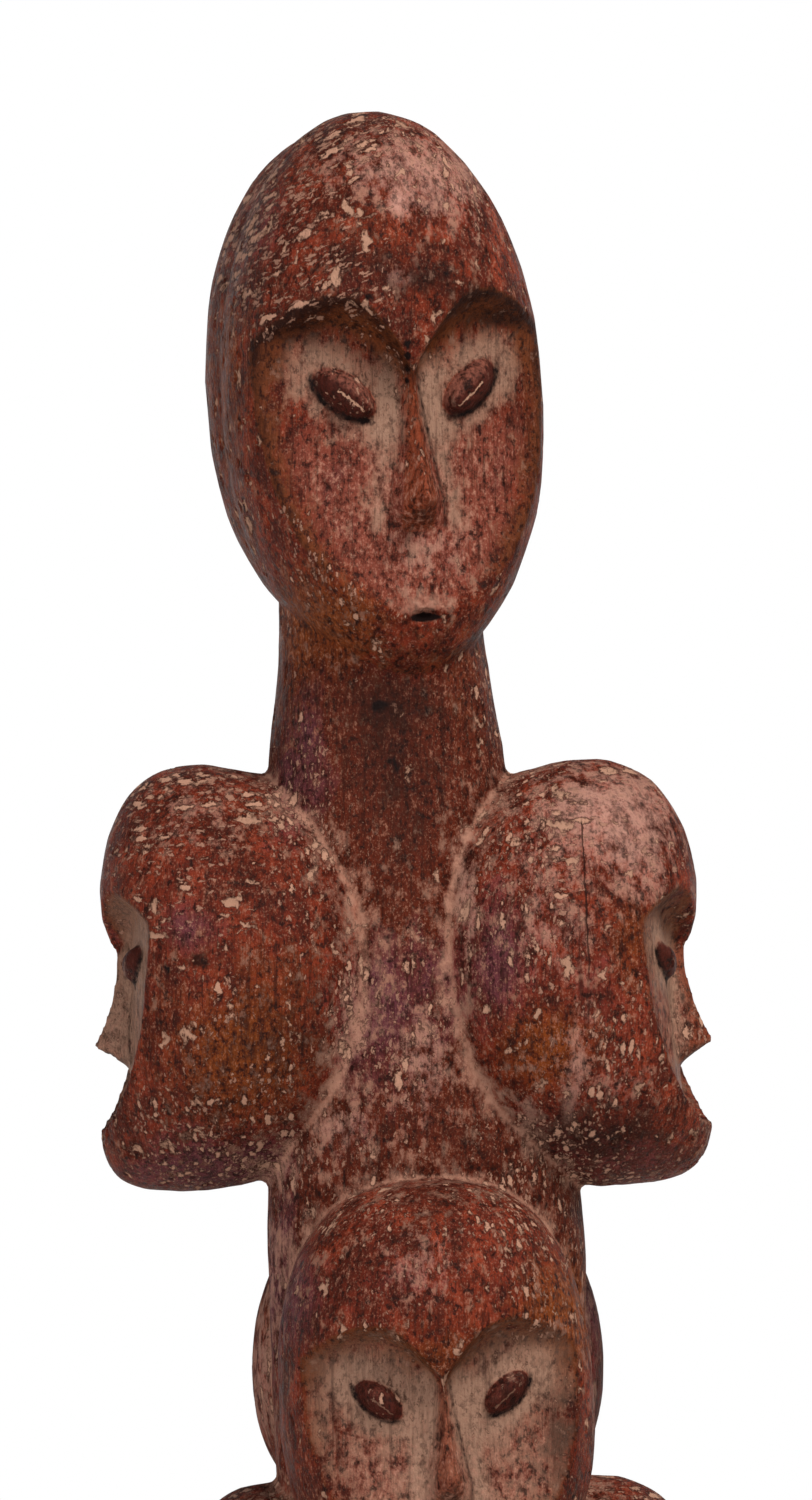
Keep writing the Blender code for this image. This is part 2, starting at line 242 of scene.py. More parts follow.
def cut_face(head, points):
    """Cuts the hollow face, the nose, the eyes and the mouth into the front of the head."""
    x, y, z = points.T.copy()
    size = head.height
    level = z / (size / 2) - head.lift
    front = y < 0

    setback = np.interp(level, *zip(*bridge)) * size
    y = np.where(front, y + setback.clip(0) * np.exp(-((x / (BRIDGE_WIDTH * size)) ** 2)), y)

    rising = head.foot + HOLLOW_SLOPE * (level - HOLLOW_FOOT).clip(-0.2)
    hollow = (rising + HOLLOW_DEPTH - np.hypot(rising - HOLLOW_DEPTH, HOLLOW_TURN)) / 2 * size
    floor = hollow - head.face_depth + HOLLOW_CURVE * size * (x / head.half_width) ** 2
    least = np.interp(level, RIM_LEVELS, RIM_STEPS) * size
    below = floor - y
    cut = (below + least + np.hypot(below - least, RIM_EASE * size)) / 2
    edge = size * np.interp(level, RIM_SOFT_LEVELS, RIM_SOFTNESS)
    inside = smooth_step(inside_rim(head, x, level) / edge)
    y = np.where(front, y + cut * inside, y)

    under = np.clip((NOSE_TIP - level) / NOSE_UNDERSIDE, 0, 1)
    ridge = setback - head.face_depth
    ridge = ridge + (floor - ridge) * under
    flank = (np.abs(x) / (nose_half_width(level) * size)).clip(0, 1) ** NOSE_ROUNDNESS
    nose = ridge + (floor - ridge) * flank
    on_nose = front & (level < NOSE_HIGH) & (level > NOSE_LOW) & (flank < 1)
    y = np.where(on_nose, np.minimum(y, nose), y)

    # Each eye is a raised bean, with a slit between its lids and a shallow groove round it
    along, athwart = eye_place(head, x, level)
    bean = (1 - along**2 - athwart**2).clip(0)
    slit = np.exp(-(((athwart + 0.25) / 0.14) ** 2)) * smooth_step((0.55 - np.abs(along + 0.2)) / 0.25)
    moat = np.exp(-(((np.hypot(along, athwart) - 1.1) / 0.12) ** 2))
    y = np.where(front, y - EYE_HEIGHT * size * bean**0.5 + size * (SLIT_DEPTH * slit + MOAT_DEPTH * moat), y)

    lips = 1 - (x / (LIPS_HALF_WIDTH * size)) ** 2 - ((level - LIPS_LEVEL) / LIPS_HALF_HEIGHT) ** 2
    mouth = 1 - (x / (MOUTH_HALF_WIDTH * size)) ** 2 - ((level - MOUTH_LEVEL) / MOUTH_HALF_HEIGHT) ** 2
    y = np.where(front, y - LIPS_HEIGHT * size * lips.clip(0) + MOUTH_DEPTH * size * mouth.clip(0) ** 0.5, y)
    x = np.where(front, x * (1 - RIM_PINCH * inside * (x / head.half_width) ** 2), x)
    return np.column_stack((x, y, z))


def head_place(head):
    """The matrix that takes the head from its own axes to its place on the trunk, in mm."""
    middle = head.crown - head.height / 2
    turned = Matrix.Rotation(math.radians(head.turn), 4, "Z")
    forwards = turned @ Vector((0, -head.reach, 0))
    leaning = Matrix.Rotation(math.radians(-head.lean), 4, "Y")
    nodding = Matrix.Rotation(math.radians(head.nod), 4, "X")
    centre = np.interp(middle, trunk_rings[:, 0], trunk_rings[:, 1])
    return Matrix.Translation((centre + forwards.x, forwards.y, middle)) @ turned @ leaning @ nodding


def add_heads(body):
    """Every head, from one sphere moved onto the head's outline and then cut."""
    sphere = bmesh.new()
    bmesh.ops.create_icosphere(sphere, subdivisions=SPHERE_SUBDIVISIONS, radius=1)
    ball = bpy.data.meshes.new("ball")
    sphere.to_mesh(ball)
    sphere.free()
    points = np.empty(len(ball.vertices) * 3)
    ball.vertices.foreach_get("co", points)
    x, y, z = points.reshape(-1, 3).T
    level = np.sign(z) * np.abs(z) ** 0.8  # spreads the sphere's points towards the crown and the chin
    across = np.hypot(x, y).clip(TINY)
    for head in heads:
        radius = egg_radius(head, x, y, level)
        uncut = np.column_stack((radius * x / across, radius * y / across, level * head.height / 2))
        carved = cut_face(head, uncut)
        carved[:, 0] += head.sway * level.clip(0) ** 2
        carved[:, 2] += head.jut * carved[:, 1] * level.clip(-1, 0) ** 6
        carved[:, 2] *= 1 - head.taper * (carved[:, 1] + TAPER_START).clip(0)
        block = ball.copy()
        block.vertices.foreach_set("co", carved.ravel())
        block.transform(head_place(head))
        body.from_mesh(block)
        bpy.data.meshes.remove(block)
    bpy.data.meshes.remove(ball)


def add_trunk(body):
    """The trunk and its foot, raised ring by ring from one disc."""
    ring = bmesh.ops.create_circle(body, cap_ends=True, segments=96, radius=1)["verts"]
    disc = list({face for vert in ring for face in vert.link_faces})
    heights = np.concatenate(([-6, 4, 9, 10.5, 11.6, 12.6, 13.4], np.arange(15, 336, 3.0)))
    for number, height in enumerate(heights):
        if number:
            raised = bmesh.ops.extrude_face_region(body, geom=disc)["geom"]
            ring = [piece for piece in raised if isinstance(piece, bmesh.types.BMVert)]
            disc = [piece for piece in raised if isinstance(piece, bmesh.types.BMFace)]
            ring.sort(key=lambda vert: math.atan2(vert.co.y, vert.co.x - centre))
        else:
            ring.sort(key=lambda vert: math.atan2(vert.co.y, vert.co.x))
            unit = np.array([vert.co for vert in ring])
        centre, half_width, half_depth = [float(value) for value in trunk_at(np.array(height))]
        radius = plan_radius(unit[:, 0], unit[:, 1], np.array(half_width), np.array(half_depth))
        for vert, x, y in zip(ring, centre + unit[:, 0] * radius, unit[:, 1] * radius):
            vert.co = (x, y, height)
    bmesh.ops.recalc_face_normals(body, faces=body.faces)


def with_modifiers(mesh, name, *settings):
    """The mesh as these modifiers leave it."""
    worked = bpy.data.objects.new(name, mesh)
    bpy.context.collection.objects.link(worked)
    for kind, values in settings:
        modifier = worked.modifiers.new(kind, kind)
        for key, value in values.items():
            setattr(modifier, key, value)
    graph = bpy.context.evaluated_depsgraph_get()
    finished = bpy.data.meshes.new_from_object(worked.evaluated_get(graph))
    bpy.data.objects.remove(worked)
    bpy.data.meshes.remove(mesh)
    return finished


body = bmesh.new()
add_trunk(body)
add_heads(body)
figure_mesh = bpy.data.meshes.new("roughed out")
body.to_mesh(figure_mesh)
body.free()
figure_mesh = with_modifiers(
    figure_mesh,
    "one skin",
    ("REMESH", {"mode": "VOXEL", "voxel_size": SKIN_GRAIN}),
    ("SMOOTH", {"factor": 0.5, "iterations": 3}),
)


def own_places(points):
    """For every head: the points in its own axes, and how far outside its uncut form each lies, in mm."""
    for head in heads:
        back = np.array(head_place(head).inverted())
        local = points @ back[:3, :3].T + back[:3, 3]
        local[:, 2] /= 1 - head.taper * (local[:, 1] + TAPER_START).clip(0, 60)
        level = local[:, 2] / (head.height / 2)
        local[:, 0] -= head.sway * level.clip(0, 1) ** 2
        local[:, 2] -= head.jut * local[:, 1] * level.clip(-1, 0) ** 6
        outside = np.full(len(points), FAR)
        near = np.flatnonzero(np.linalg.norm(local, axis=1) < 1.3 * head.height / 2 + 15)
        x, y, z = local[near].T
        low, high = np.full(len(near), 0.3), np.full(len(near), 3.0)
        # By halving: how many times larger the uncut head would be with the point on its skin
        for _ in range(14):
            middle = (low + high) / 2
            within = np.hypot(x, y) / middle < egg_radius(head, x, y, z / middle / (head.height / 2))
            high = np.where(within, middle, high)
            low = np.where(within, low, middle)
        outside[near] = (high - 1) * np.linalg.norm(local[near], axis=1)
        yield head, local, outside


def outside_trunk(points):
    """How far outside the trunk each point lies, in mm."""
    centre, half_width, half_depth = trunk_at(points[:, 2])
    radius = plan_radius(points[:, 0] - centre, points[:, 1], half_width, half_depth)
    outside = np.hypot(points[:, 0] - centre, points[:, 1]) - radius
    return np.where(points[:, 2] > trunk_rings[-1, 0], FAR, outside)


def point_values(points, field):
    """The places or the directions that a mesh keeps for its points."""
    values = np.empty(len(points) * 3)
    points.foreach_get(field, values)
    return values.reshape(-1, 3)


# The knife leaves shallow scallops side by side, and chips where it dug in. Most chips run with the grain,
# which is upright.
SCALLOP_DEPTH = 0.45  # mm
CHIP_DEPTH = 0.45
SCALLOP_CELL = (6, 6, 11)  # mm across, deep and up between one scallop and the next
seeds = np.random.default_rng(11).random((32, 32, 32, 5))


def cut_marks(points, cell, share=1.0, least=1.0, most=1.0):
    """How near the closest cut is, from 1 at its middle to 0 at its edge and beyond, to -1 far from any.

    A cut lies at random in each of a share of the cells; its half size is from least to most of a cell.
    """
    places = points / np.array(cell)
    cells = np.floor(places).astype(int)
    marks = np.full(len(points), -1.0)
    for offset in itertools.product((-1, 0, 1), repeat=3):
        place = cells + offset
        seed = seeds[place[:, 0] % 32, place[:, 1] % 32, place[:, 2] % 32]
        away = ((place + seed[:, :3] - places) ** 2).sum(axis=1)
        near = 1 - away / (least + (most - least) * seed[:, 4]) ** 2
        marks = np.where(seed[:, 3] < share, np.maximum(marks, near), marks)
    return marks


def level_strokes(points):
    """Where the cuts run level instead of upright: over the upper half of the side heads."""
    # The lower heads lie 152 mm under the upper ones, and the trunk reaches 26 mm to each side of x = -5
    height = np.where(points[:, 2] > 150, points[:, 2], points[:, 2] + 152)
    off_trunk = smooth_step((np.abs(points[:, 0] + 5) - 26) / 8)
    return off_trunk * smooth_step((height - 238) / 14) * (height < 290)


def chips(points):
    """How near the closest chip is, as for a cut; its long way is upright or level."""
    ragged = points + 0.5 * np.sin(points[:, (2, 0, 1)] * 2.1) + 0.3 * np.sin(points[:, (1, 2, 0)] * 4.7)
    upright = np.maximum(
        cut_marks(ragged, (4.5, 4.5, 9), 0.35, 0.18, 0.38), cut_marks(ragged, (2.6, 2.6, 6), 0.3, 0.2, 0.38)
    )
    level = np.maximum(
        cut_marks(ragged, (9, 9, 4.5), 0.35, 0.18, 0.36), cut_marks(ragged, (6, 6, 2.6), 0.3, 0.2, 0.38)
    )
    return np.where(level_strokes(points) > 0.5, level, upright)


points = point_values(figure_mesh.vertices, "co")
normals = point_values(figure_mesh.vertex_normals, "vector")
scallops = cut_marks(points, SCALLOP_CELL).clip(0.3, 1)
relief = -SCALLOP_DEPTH * scallops - CHIP_DEPTH * chips(points).clip(0) ** 0.5
points = points + normals * relief[:, None]
figure_mesh.vertices.foreach_set("co", points.ravel())
figure_mesh.update()
quads = len(figure_mesh.polygons)
figure_mesh = with_modifiers(
    figure_mesh, "thinned", ("DECIMATE", {"ratio": min(1.0, MOST_TRIANGLES / (2 * quads))})
)

solid = bmesh.new()
solid.from_mesh(figure_mesh)
everything = solid.verts[:] + solid.edges[:] + solid.faces[:]
bmesh.ops.bisect_plane(solid, geom=everything, plane_co=(0, 0, 0), plane_no=(0, 0, 1), clear_inner=True)
bmesh.ops.contextual_create(solid, geom=[edge for edge in solid.edges if edge.is_boundary])
bmesh.ops.triangulate(solid, faces=solid.faces)
bmesh.ops.recalc_face_normals(solid, faces=solid.faces)
solid.to_mesh(figure_mesh)
solid.free()
points = point_values(figure_mesh.vertices, "co")

# Where each point of the skin belongs, and how far it is from the next form it meets in a crease
normals = point_values(figure_mesh.vertex_normals, "vector")
nearest = outside_trunk(points)
second = np.full(len(points), FAR)
OFF_FACE = -20.0
face_place = np.column_stack((np.zeros(len(points)), np.zeros(len(points)), np.full(len(points), OFF_FACE)))
OFF_EYES = 9.0
eye_places = np.full((len(points), 3), OFF_EYES)
owner = np.full(len(points), len(heads))
for number, (head, local, outside) in enumerate(own_places(points)):
    mine = outside < nearest
    second = np.where(mine, nearest, np.minimum(second, outside))
    nearest = np.where(mine, outside, nearest)
    owner = np.where(mine, number, owner)
    x, y, z = local.T
    level = z / (head.height / 2) - head.lift
    inside = np.where(y < 0, inside_rim(head, x, level), OFF_FACE)
    faced = np.column_stack((x / head.height, level / 2, inside))
    face_place[mine] = faced[mine]
    along, athwart = eye_place(head, x, level)
    slit_strength = 1.0 if number < 2 else 0.3  # plain on the top heads, and worn on the rest
    eyes = np.column_stack((along, athwart, np.where(y < 0, slit_strength, 0.0)))
    eye_places[mine] = eyes[mine]
CREASE_REACH = 40  # mm
crease = (second - nearest.clip(0)).clip(0, CREASE_REACH)

# Set in the middle of the frame, at the frame's own size
low, high = (np.array(corner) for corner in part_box("figure"))
was_low, was_high = points.min(axis=0), points.max(axis=0)
placed = low + (points - was_low) * (high - low) / (was_high - was_low)
figure_mesh.vertices.foreach_set("co", placed.ravel())
figure_mesh.update()
figure_mesh.shade_smooth()

figure = bpy.data.objects.new("carved_figure", figure_mesh)
bpy.context.collection.objects.link(figure)
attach(figure, "root")
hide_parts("figure")


def linear(code):
    """A colour's linear values from its sRGB hex code, with a full alpha."""
    shares = [int(code[place : place + 2], 16) / 255 for place in (0, 2, 4)]
    return (
        *(share / 12.92 if share < 0.04045 else ((share + 0.055) / 1.055) ** 2.4 for share in shares), 1.0
    )


def node(tree, kind, settings=None, **links):
    """Adds a node with settings, and links or sets its inputs, named with _ for spaces or by number as _0."""
    added = tree.nodes.new(kind)
    for key, value in (settings or {}).items():
        setattr(added, key, value)
    for key, value in links.items():
        inlet = added.inputs[int(key[1:])] if key[0] == "_" else added.inputs[key.replace("_", " ")]
        if isinstance(value, bpy.types.NodeSocket):
            tree.links.new(value, inlet)
        else:
            inlet.default_value = value
    return added


def attribute(mesh, name, values):
    """Keeps a number or a vector for each point of the mesh."""
    kind, field = ("FLOAT", "value") if values.ndim == 1 else ("FLOAT_VECTOR", "vector")
    layer = mesh.attributes.new(name, kind, "POINT")
    layer.data.foreach_set(field, np.ascontiguousarray(values, dtype=float).ravel())


def fading(distance, reach):
    """1 at no distance, 0.37 at this reach, and falling softly to 0 beyond it."""
    return np.exp(-((distance / reach) ** 2))


# What handling, clay and smoke have left, together with some painted shade and painted highlights: zones of
# colour, each a list of soft
# patches in mm on the side seen first: across, height, reach across, reach up and strength. The far side
# wears the same, turned half round.
patches = {
    "ochre": (
        (27, 166, 11, 14, 1.35), (-20, 312, 12, 12, 1.2), (0, 158, 12, 7, 0.8), (-40, 220, 17, 17, 1.25),
        (-28, 240, 11, 13, 0.3), (42, 245, 5, 11, 0.8), (28, 255, 11, 9, 0.5), (24, 222, 12, 11, 1.15),
        (-40, 325, 4, 15, 0.7), (-44, 363, 6, 22, 0.8), (6, 295, 6, 11, 0.35), (-38, 272, 8, 5, 0.5),
        (-28, 374, 10, 4, 0.5), (-8, 395, 12, 8, 0.3), (-29, 300, 4, 22, 0.5), (9, 310, 5, 8, 0.35),
    ),
    "plum": (
        (-29, 276, 7, 13, 0.8), (-51, 247, 7, 6, 0.8), (-30, 168, 10, 10, 0.8), (-7, 174, 10, 5, 0.5),
        (-4, 234, 13, 15, 0.7), (-15, 222, 8, 18, 0.6), (14, 242, 7, 15, 0.9), (-43, 197, 13, 4, 0.9),
        (-38, 395, 9, 13, 0.5), (34, 232, 8, 17, 0.4), (-36, 150, 4, 20, 0.5), (36, 150, 4, 20, 0.2),
        (-32, 185, 6, 10, 0.6), (-27, 292, 5, 14, 0.5),
    ),
    # The soot patches on the neck below the top head's chin are soot and also the chin's painted shadow
    "soot_and_shade": (
        (-9, 286, 12, 16, 0.6), (-8, 295, 15, 5, 0.35), (-5, 266, 8, 12, 0.4), (-29, 374, 11, 6, 0.6),
        (15, 375, 8, 3, 0.6), (35, 204, 16, 8, 0.65), (0, 187, 14, 4, 0.3), (-14, 388, 13, 6, 0.5),
        (0, 382, 10, 4, 0.7), (-17, 317, 13, 6, 0.2), (-53, 206, 13, 11, 0.3), (10, 200, 11, 7, 0.4),
        (-36, 149, 5, 13, 0.4), (27, 142, 6, 13, 0.6), (-49, 240, 3, 2, 1.0), (-38, 222, 14, 12, 0.4),
        (-26, 232, 9, 14, 0.3),
    ),
    # The pale patches on the top of the upper right head and on the top head's crown are pale dust and also a
    # painted highlight
    "pale": (
        (5, 404, 12, 12, 0.65), (-11, 408, 15, 9, 0.65), (37, 272, 17, 10, 1.05), (-50, 271, 13, 8, 0.4),
        (24, 250, 11, 17, 0.6), (-3, 177, 10, 8, 0.5), (44, 258, 8, 9, 0.6), (7, 252, 2.5, 15, 0.8),
        (-7, 399, 2.2, 3.0, 1.1), (29, 214, 3, 12, 0.3), (-18, 229, 4, 16, 0.7), (-20, 205, 9, 5, 0.6),
        (20, 207, 4, 6, 0.7), (-7, 384, 4, 3, 1.0), (-2, 219, 7, 14, 0.7), (39, 215, 7, 6, 0.6),
        (-40, 402, 8, 10, 0.4), (-2, 326, 14, 9, 0.5), (36, 152, 4, 18, 0.8), (-34, 176, 6, 16, 0.6),
        (-36, 196, 12, 5, 0.5),
    ),
}
# Knots and scorched pits: across, height and reach
pits = (
    (-11.5, 293.3, 1.7), (-8.1, 281.2, 1.5), (-7.6, 268.3, 1.3), (-3.4, 260.6, 1.5), (-1.5, 293.5, 1.2),
    (-56.0, 237.5, 1.8), (-1.9, 377.9, 1.5), (-5.4, 369.5, 0.9), (-5.4, 367.0, 0.9), (-5.4, 364.5, 0.8),
    (-13.6, 379.3, 0.8), (2.0, 381.5, 1.2), (3.5, 384.5, 1.0), (-4.0, 384.0, 0.9), (-5.4, 362.0, 0.8),
)
across_side = points[:, 0] * np.where(points[:, 1] > 4, -1, 1)
up = points[:, 2]
zones = {}
for name, places in patches.items():
    zones[name] = sum(
        strength * fading(across_side - across, wide) * fading(up - height, tall)
        for across, height, wide, tall, strength in places
    )


def by_head(*weights):
    """Each point's own value, out of values for the heads in turn and last for the trunk."""
    return np.array(weights)[owner]


# Where a point lies on its head: levels and shares as in the face's sizes, and the rim's distance in mm
face_x, face_level, rim = np.abs(face_place[:, 0]), 2 * face_place[:, 1], face_place[:, 2]
along_eye, across_eye, eye_side = eye_places.T
has_eyes = (eye_side > 0.1) * (eye_side < 2)
around_eye = np.hypot(along_eye, across_eye)
in_face = smooth_step(rim / 2)
deep_in_face = smooth_step(rim / 8)
on_face_side = rim > -15
on_top = by_head(1, 1, 0, 0, 0, 0, 0, 0, 0)
on_side_head = by_head(0, 0, 1, 1, 0, 0, 1, 1, 0)
on_middle_head = by_head(0, 0, 0, 0, 1, 1, 0, 0, 0)
on_trunk = by_head(0, 0, 0, 0, 0, 0, 0, 0, 1)
facing_down = smooth_step((-normals[:, 2] - 0.25) / 0.5)
facing_up = smooth_step((normals[:, 2] - 0.1) / 0.7)
crowns = by_head(*(head.crown for head in heads), 200)
own_heights = by_head(*(head.height for head in heads), 100)
own_level = (up - crowns) / own_heights * 2 + 1
top_left = on_top * smooth_step((-3 - across_side) / 13) * smooth_step((up - 368) / 10)

nose_width = nose_half_width(face_level)
nose_levels = smooth_step((0.17 - face_level) / 0.08) * smooth_step((face_level + 0.52) / 0.05)
on_nose = in_face * nose_levels * smooth_step((0.6 * nose_width + 0.004 - face_x) / 0.008)
beside_nose = in_face * nose_levels * fading(face_x - nose_width - 0.018, 0.022)
nose_edge = in_face * nose_levels * fading(face_place[:, 0] - nose_width, 0.006)
nostrils = in_face * fading(face_x, 0.040) * fading(face_level + 0.45, 0.045)
under_nose = in_face * fading(face_x, 0.07) * fading(face_level + 0.58, 0.07)
under_brow = smooth_step((face_level - 0.02) / 0.12) * smooth_step(rim / 0.8) * fading(rim, 9)
beside_rim = smooth_step(rim / 0.5) * fading(rim, 5) * smooth_step((face_level + 0.75) / 0.2)
rim_line = on_top * fading(rim - 1.2, 1.3) * smooth_step((face_level + 0.62) / 0.2)
in_mouth = on_face_side * fading(face_x, 0.024) * fading(face_level + 0.768, 0.009)
on_lips = on_face_side * fading(face_x, 0.060) * fading(face_level + 0.735, 0.045)
below_neck = up < 290

zones["nose"] = on_nose * by_head(1, 1, 0.1, 0.9, 0.8, 0.8, 0.2, 0.9, 0)
# Brown stain and painted shade under the brows and just inside the face's rim; on the top heads, painted
# shade on surfaces that face down, under the chin
zones["umber_and_shade"] = by_head(1, 1, 0.4, 0.4, 0.55, 0.55, 0.4, 0.4, 0) * (under_brow + beside_rim)
zones["umber_and_shade"] += 0.45 * on_top * facing_down
# Painted shade on the soot zone: darker on the heads near the creases, on surfaces that face down, under the
# brows, in a line inside the top head's rim and under the nose
zones["soot_and_shade"] += (1 - on_top) * (0.3 * np.exp(-crease / 11) * (1 - on_trunk) + 0.1 * facing_down)
zones["soot_and_shade"] += 0.2 * under_brow * (1 - on_side_head) + 0.5 * rim_line + 0.7 * nostrils
# Painted shade: surfaces that face down, below the top heads, turn darker and purpler
zones["plum"] += 0.5 * facing_down * (1 - on_top)
zones["dark wood"] = 1.1 * on_trunk * smooth_step((up - 150) / 10)
zones["rose"] = smooth_step(rim / 9) * smooth_step((0.05 - face_level) / 0.3)
round_eyes = 0.9 * fading(around_eye - 1.4, 0.75) + 0.3 * smooth_step((face_level + 0.1) / 0.2)
zones["eye"] = has_eyes * smooth_step((1.12 - around_eye) / 0.2)
zones["grey clay"] = has_eyes * deep_in_face * round_eyes + beside_nose + 0.4 * under_nose
zones["grey clay"] += in_face * (by_head(0, 0, 1.25, 0.55, 0, 0, 0.9, 0.7, 0) + 0.7 * on_middle_head)
zones["grey clay"] *= 1 - zones["eye"]
zones["seam"] = below_neck * fading(crease, 0.8)
# Clay in the creases below the necks and on the lips; on surfaces that face up it is pale dust and also
# painted light on the tops
zones["clay"] = 0.6 * np.exp(-crease / 6) * below_neck + 0.15 * facing_up + 0.3 * zones["pale"]
zones["clay"] += 0.95 * on_lips
# Painted light: the upper half of each eye bean is drawn lighter, where the light from above falls on it
zones["lid"] = zones["eye"] * smooth_step((across_eye + 0.15) / 0.6) * (0.3 + 0.7 * on_top)
# Painted shade in near black along the lower edge of each eye, in the mouth and down the edges of the nose;
# the knots and scorched pits added below are the wood's own
zones["black"] = 0.62 * has_eyes * fading(around_eye - 1.05, 0.22) * smooth_step((0.3 - across_eye) / 0.8)
zones["black"] += 2 * in_mouth + 0.5 * nose_edge
zones["black"] += sum(
    fading(across_side - across, reach) * fading(up - height, reach) for across, height, reach in pits
)
zones["flecked"] = 0.27 + 0.15 * facing_up + 0.1 * zones["pale"] - 0.1 * smooth_step(rim / 4)
zones["flecked"] += 0.25 * on_side_head * np.abs(own_level) + 0.45 * top_left + 0.05 * on_trunk
zones["chips"] = chips(points) - 0.8 * smooth_step(rim / 3) - 0.5 * on_trunk
zones["level strokes"] = level_strokes(points)
zones["slanting strokes"] = top_left

# A drying crack runs down the head at the right: how far right of it a point lies, in mm, and where it opens
on_upper_right = by_head(0, 0, 0, 1, 0, 0, 0, 0, 0)
from_crack = points[:, 0] - np.interp(up, (203, 237, 271), (27.8, 33.0, 31.2))
open_crack = on_upper_right * smooth_step((up - 233) / 6) * (up < 270) * (points[:, 1] < 0)
zones["pale"] += 0.45 * on_upper_right * fading(from_crack, 2.5) * smooth_step((236 - up) / 6)
for name, strength in zones.items():
    attribute(figure_mesh, name, strength)
attribute(figure_mesh, "crack place", np.column_stack((from_crack, open_crack, np.zeros(len(points)))))
attribute(figure_mesh, "eye place", eye_places)

# Red-stained hardwood, knife-cut, waxed by hands and never varnished. Its sheen is dull, its grain close, and
# the clay in its cuts quite matte.
SHEEN = 0.07
WORN_ROUGHNESS = 0.36
CLAY_ROUGHNESS = 0.9
SKIN_RELIEF = 0.35 * MM
material = bpy.data.materials.new("oxblood hardwood")
material.use_nodes = True
tree = material.node_tree
shader = tree.nodes["Principled BSDF"]
place = node(tree, "ShaderNodeTexCoord").outputs["Object"]


def grain(wide, tall, detail=3.0, rough=0.55):
    """A noise whose marks are about this wide and tall, in mm."""
    laid = node(
        tree, "ShaderNodeMapping", {"vector_type": "TEXTURE"},
        Vector=place, Scale=(wide * MM, wide * MM, tall * MM),
    )
    return node(
        tree, "ShaderNodeTexNoise", None, Vector=laid.outputs[0], Scale=1.0, Detail=detail, Roughness=rough
    ).outputs["Fac"]


def broken(name, noise, ragged):
    """A zone's strength, raised and lowered by this much of a noise around 0.5."""
    strength = node(tree, "ShaderNodeAttribute", {"attribute_name": name}).outputs["Fac"]
    spread = node(
        tree, "ShaderNodeMath", {"operation": "MULTIPLY_ADD"}, _0=noise, _1=ragged, _2=-0.5 * ragged
    )
    return node(tree, "ShaderNodeMath", {"operation": "ADD"}, _0=strength, _1=spread.outputs[0]).outputs[0]


# Stain varies over a few centimetres, knife facets over 6 mm, worn spots over 3 mm and crazing over 1 mm. The
# finest crazing and the wood's pores are 0.1 to 0.15 mm wide, too fine to show, so speckle and fibre, which
# stand for them, are drawn three or four times as coarse.
broad = grain(26, 34)
middling = grain(6, 9, 6, 0.65)
spots = grain(3.2, 4.5, 6, 0.7)
fine = grain(1.3, 1.8, 5, 0.7)
speckle = grain(0.45, 0.6, 3)
fibre = grain(0.4, 8)
streaks = grain(1.1, 20, 4, 0.6)

# Flecks: cells stretched along the knife's way, some of them filled. A noise with waves 2 mm long shifts
# their edges by about 1 mm, which makes them ragged.
RAGGED_WAVES = 520.0  # in a metre
RAGGED_SHIFT = 2.4 * MM
waver = node(
    tree, "ShaderNodeTexNoise", None, Vector=place, Scale=RAGGED_WAVES, Detail=4.0, Roughness=0.65
).outputs["Color"]
wavy = node(
    tree, "ShaderNodeVectorMath", {"operation": "MULTIPLY_ADD"},
    _0=waver, _1=(RAGGED_SHIFT, RAGGED_SHIFT, RAGGED_SHIFT), _2=place,
).outputs[0]
# Each way: width and height of a stroke in mm, and its turn in degrees; upright, level and slanting
ways = []
for wide, tall, turn in ((1.0, 2.7, 0), (2.9, 0.9, 0), (4.2, 0.95, -24)):
    ways.append(
        node(
            tree, "ShaderNodeMapping", {"vector_type": "TEXTURE"},
            Vector=wavy, Rotation=(0, math.radians(turn), 0), Scale=(wide * MM, wide * MM, tall * MM),
        ).outputs[0]
    )
way = ways[0]
for name, other in (("level strokes", ways[1]), ("slanting strokes", ways[2])):
    there = node(tree, "ShaderNodeMapRange", None, _0=broken(name, middling, 2.0), _1=0.48, _2=0.52)
    way = node(
        tree, "ShaderNodeMix", {"data_type": "VECTOR"}, _0=there.outputs[0], _4=way, _5=other
    ).outputs[1]


def flecks(size, share):
    """Ragged flecks this many times the stroke's own width; more than 0 inside one, and less outside."""
    cells = node(tree, "ShaderNodeTexVoronoi", None, Vector=way, Scale=1 / size)
    picked = node(tree, "ShaderNodeSeparateColor", None, Color=cells.outputs["Color"]).outputs[0]
    density = broken("flecked", broad, 2.2)
    density = node(
        tree, "ShaderNodeMath", {"operation": "MULTIPLY_ADD"}, _0=density, _1=1.0, _2=share - 1
    ).outputs[0]
    filled = node(tree, "ShaderNodeMath", {"operation": "ADD"}, _0=picked, _1=density).outputs[0]
    reach = node(tree, "ShaderNodeMapRange", None, _0=filled, _1=0.0, _2=0.5, _3=-0.1, _4=0.46).outputs[0]
    within = node(
        tree, "ShaderNodeMath", {"operation": "SUBTRACT"}, _0=reach, _1=cells.outputs["Distance"]
    ).outputs[0]
    rough = node(tree, "ShaderNodeMath", {"operation": "MULTIPLY_ADD"}, _0=fine, _1=1.0, _2=-0.5).outputs[0]
    return node(tree, "ShaderNodeMath", {"operation": "ADD"}, _0=within, _1=rough).outputs[0]


small_flecks = flecks(0.75, 0.1)
large_flecks = flecks(1.7, 0.0)
chip = broken("chips", fine, 3.5)

